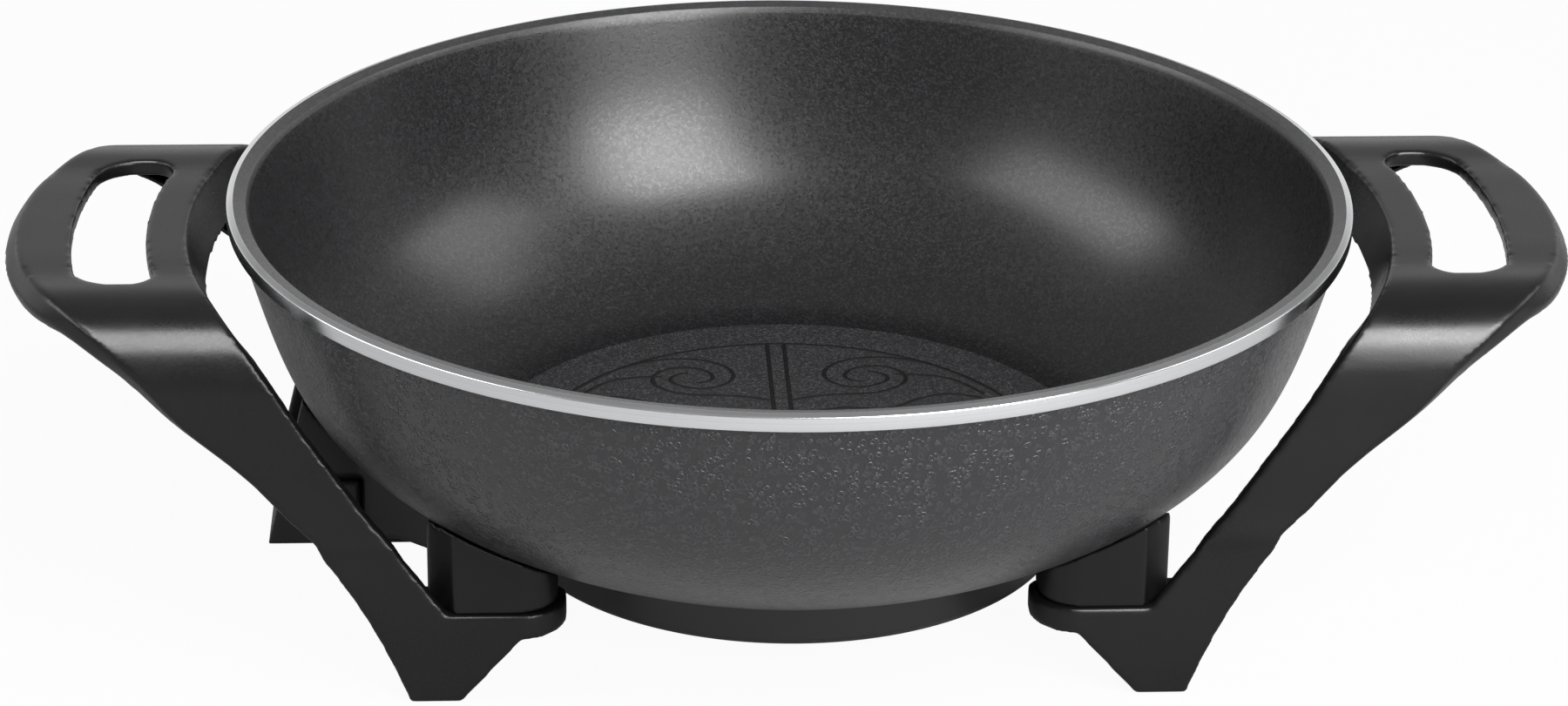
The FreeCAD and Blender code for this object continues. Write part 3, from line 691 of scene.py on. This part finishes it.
def studio_world():
    """A white backdrop that rises behind the object; the gloss sees the rest of the room dimmer."""
    world = bpy.data.worlds.new("studio")
    bpy.context.scene.world = world
    world.use_nodes = True
    sky = world.node_tree
    paths = node(sky, "ShaderNodeLightPath").outputs
    towards = node(sky, "ShaderNodeTexCoord").outputs["Generated"]
    axes = node(sky, "ShaderNodeSeparateXYZ", {"Vector": towards}).outputs
    rise = node(sky, "ShaderNodeMath", {0: axes["Y"], 1: -BACKDROP_RISE, 2: axes["Z"]},
                operation="MULTIPLY_ADD").outputs[0]
    wall = node(sky, "ShaderNodeMapRange",
                {"Value": rise, "From Min": -BACKDROP_FADE, "From Max": BACKDROP_FADE,
                 "To Min": 1.0, "To Max": CEILING}).outputs[0]
    bounced = node(sky, "ShaderNodeMath", {0: paths["Is Glossy Ray"], 1: paths["Is Transmission Ray"]},
                   operation="MAXIMUM").outputs[0]
    dim = node(sky, "ShaderNodeMix", {"Factor": bounced, "A": AMBIENT, "B": wall}).outputs["Result"]
    strength = node(sky, "ShaderNodeMix",
                    {"Factor": paths["Is Camera Ray"], "A": dim, "B": 1.0}).outputs["Result"]
    background = sky.nodes["Background"]
    background.inputs["Color"].default_value = (1, 1, 1, 1)
    sky.links.new(strength, background.inputs["Strength"])


def soft_box(name, azimuth, elevation, distance, width, height, radiance, aim_x=0.0, only=None):
    """A rectangular soft light aimed at the object; azimuth is from the front towards +X."""
    turn = math.radians(azimuth)
    rise = math.radians(elevation)
    towards = Vector((math.sin(turn) * math.cos(rise), -math.cos(turn) * math.cos(rise), math.sin(rise)))
    lamp = bpy.data.lights.new(name, "AREA")
    lamp.shape = "RECTANGLE"
    lamp.size = width
    lamp.size_y = height
    lamp.energy = radiance * math.pi * width * height
    holder = bpy.data.objects.new(name, lamp)
    holder.location = Vector((aim_x, 0, AIM_Z)) + towards * distance
    holder.rotation_mode = "QUATERNION"
    holder.rotation_quaternion = towards.to_track_quat("Z", "Y")
    bpy.context.scene.collection.objects.link(holder)
    if only:
        lit = bpy.data.collections.new(name + "_lights_only")
        lit.objects.link(only)
        holder.light_linking.receiver_collection = lit


def fitted_camera():
    """The camera at its fitted place, with its axes as the columns of its matrix."""
    lens = bpy.data.cameras.new("camera")
    lens.sensor_width = SENSOR_WIDTH_MM
    lens.lens = LENS_MM
    lens.clip_start = 0.1
    lens.clip_end = 50.0
    camera = bpy.data.objects.new("camera", lens)
    turned = Matrix((CAMERA_RIGHT, CAMERA_UP, CAMERA_BACK)).transposed().to_4x4()
    camera.matrix_world = Matrix.Translation(CAMERA_PLACE) @ turned
    bpy.context.scene.collection.objects.link(camera)
    bpy.context.scene.camera = camera


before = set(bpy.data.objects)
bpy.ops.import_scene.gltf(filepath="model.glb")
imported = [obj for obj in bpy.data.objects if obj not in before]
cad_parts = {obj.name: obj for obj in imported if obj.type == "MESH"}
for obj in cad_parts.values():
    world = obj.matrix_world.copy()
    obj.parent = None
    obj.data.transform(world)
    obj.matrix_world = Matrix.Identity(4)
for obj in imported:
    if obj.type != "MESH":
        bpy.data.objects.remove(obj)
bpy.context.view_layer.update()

# The pan's coatings: near-black on the wall, greyer and rougher on floor and ledge, darkest on the lines
coating = nonstick_coating("nonstick_coating", "#141415", "#38383B", bump=0.3, roughness=0.29)
floor_coating = nonstick_coating("nonstick_floor_texture", "#242425", "#5C5C60", bump=0.8, roughness=0.42)
ledge_coating = nonstick_coating("nonstick_ledge", "#2A2A2B", "#4A4A4C", bump=0.2, roughness=0.34)
line_coating = nonstick_coating("nonstick_ornament_line", "#0D0D0E", "#1C1C1D", bump=0.2, roughness=0.36)
# The rim's bright metal edge, the lightest thing on the object
bright_rim = turned_aluminium("turned_aluminium_rim", "#B9BABC", "#E6E7E8", roughness=0.2)
# The outside's charcoal skin, with a painted glint on its ridges that is strongest near the rim
enamel = pebbled_enamel("pebbled_enamel", "#202022", "#353538")
# Mouldings: the same black, glossiest on the handles and dullest on the guard
frame_black = moulded_phenolic("moulded_phenolic_frame", "#060606", "#0C0C0D", roughness=0.3, bump=0.3)
pillar_black = moulded_phenolic("moulded_phenolic_pillar", "#070707", "#0E0E0F", roughness=0.33, bump=0.3)
guard_black = moulded_phenolic("moulded_phenolic_guard", "#060606", "#0B0B0B", roughness=0.36, bump=0.4)
# As-cast aluminium: dull grey with a coarse sandy skin
cast_under = plain_surface("cast_aluminium", "#5E5F61", "#7A7B7D",
                           size_mm=2.2, roughness=0.52, bump_mm=0.12, metallic=1.0)
# Sprayed heatproof paint: an even satin black with a slight orange peel
cover_paint = plain_surface("heatproof_black_paint", "#0A0A0B", "#141415",
                            size_mm=1.6, roughness=0.4, bump_mm=0.04)
# Moulded rubber: a flat black that shows hardly any highlight
rubber = plain_surface("moulded_rubber", "#0B0B0B", "#171717",
                       size_mm=0.9, roughness=0.75, bump_mm=0.05, ior=1.52)
# Drawn steel sheath that has been hot: brownish, uneven and half dull
sheath = plain_surface("heater_sheath_steel", "#5B544D", "#857D75",
                       size_mm=6.0, roughness=0.42, bump_mm=0.03, metallic=1.0)
# Rolled aluminium sheet: pale and fairly bright
foil = plain_surface("rolled_aluminium_sheet", "#C9CACC", "#DADBDD",
                     size_mm=4.0, roughness=0.3, bump_mm=0.03, metallic=1.0)
# Pressed mineral fibre: a chalky cream board with no gloss
fibre = plain_surface("mineral_fibre_board", "#B8B1A0", "#D3CCBC",
                      size_mm=1.2, roughness=0.9, bump_mm=0.25)
# Polished stainless steel: small sharp highlights
pin_steel = plain_surface("polished_stainless_steel", "#B6B5B2", "#CBCAC7",
                          size_mm=1.5, roughness=0.2, bump_mm=0.01, metallic=1.0)
# Fired steatite: a warm white with a weak sheen
ceramic = plain_surface("steatite_ceramic", "#D8D4C9", "#E6E3DA",
                        size_mm=1.4, roughness=0.45, bump_mm=0.04, ior=1.6)
# Zinc-plated steel: a bluish grey, evenly bright
zinc = plain_surface("zinc_plated_steel", "#8F9297", "#A9ACB0",
                     size_mm=0.8, roughness=0.32, bump_mm=0.02, metallic=1.0)

# The pan with its lugs and its floor ornament
pan = lathe("pan_casting", round_profile(pan_profile()),
            [coating, floor_coating, ledge_coating, bright_rim, enamel, cast_under])
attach(pan, "root")
lugs = cast_stubs(enamel, cast_under)
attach(lugs, "root")
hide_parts("wok_pan")
medallion = floor_medallion(line_coating)
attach(medallion, "root")

# Moulded parts
cell = FRAME_CELL
right_frame = softened_copy("handle_frame_right", frame_black, cell, FRAME_PASSES)
left_frame = softened_copy("handle_frame_left", frame_black, cell, FRAME_PASSES)
for part in ("pillar_front_right", "pillar_rear_right", "pillar_front_left", "pillar_rear_left"):
    softened_copy(part, pillar_black, SMALL_CELL, SMALL_PASSES)
softened_copy("probe_guard", guard_black, SMALL_CELL, SMALL_PASSES)

# Parts that keep the solid's shape
kept = {
    "base_cover": cover_paint,
    "heating_element": sheath,
    "insulation_pad": fibre,
    "heat_shield": foil,
    "cover_screws": zinc,
    "guard_screws": zinc,
    "leg_screws": zinc,
    "leg_washers": zinc,
    "terminal_pins": pin_steel,
    "terminal_seals": ceramic,
    "foot_pad_front_right": rubber,
    "foot_pad_rear_right": rubber,
    "foot_pad_front_left": rubber,
    "foot_pad_rear_left": rubber,
}
for part, finish in kept.items():
    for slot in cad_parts[part].material_slots:
        slot.material = finish

# Floor and backdrop
corners = [(-SWEEP_HALF, -SWEEP_HALF, 0), (SWEEP_HALF, -SWEEP_HALF, 0),
           (SWEEP_HALF, SWEEP_HALF, 0), (-SWEEP_HALF, SWEEP_HALF, 0)]
sweep = mesh_piece("floor", corners, [[0, 1, 2, 3]], [white_sweep("white_sweep", "#BCBCBC", "#C2C2C2")])
studio_world()

# Lamps: a large key from the front right and a weaker one at each side
soft_box("key_box", azimuth=31, elevation=34, distance=BOX_DISTANCE,
         width=0.95, height=1.4, radiance=13.5)
soft_box("left_box", azimuth=-84, elevation=29, distance=BOX_DISTANCE,
         width=1.5, height=0.75, radiance=4.5)
soft_box("right_box", azimuth=98, elevation=36, distance=BOX_DISTANCE,
         width=0.9, height=0.8, radiance=3.4)
# Flagged off the pan, so that each lights one handle frame only
soft_box("left_strap_box", azimuth=-12, elevation=58, distance=STRAP_BOX_DISTANCE,
         width=0.5, height=0.56, radiance=19.0, aim_x=-STRAP_X, only=left_frame)
soft_box("right_strap_box", azimuth=14, elevation=46, distance=STRAP_BOX_DISTANCE,
         width=0.5, height=0.42, radiance=18.0, aim_x=STRAP_X, only=right_frame)

fitted_camera()
bpy.context.scene.view_settings.view_transform = "Standard"
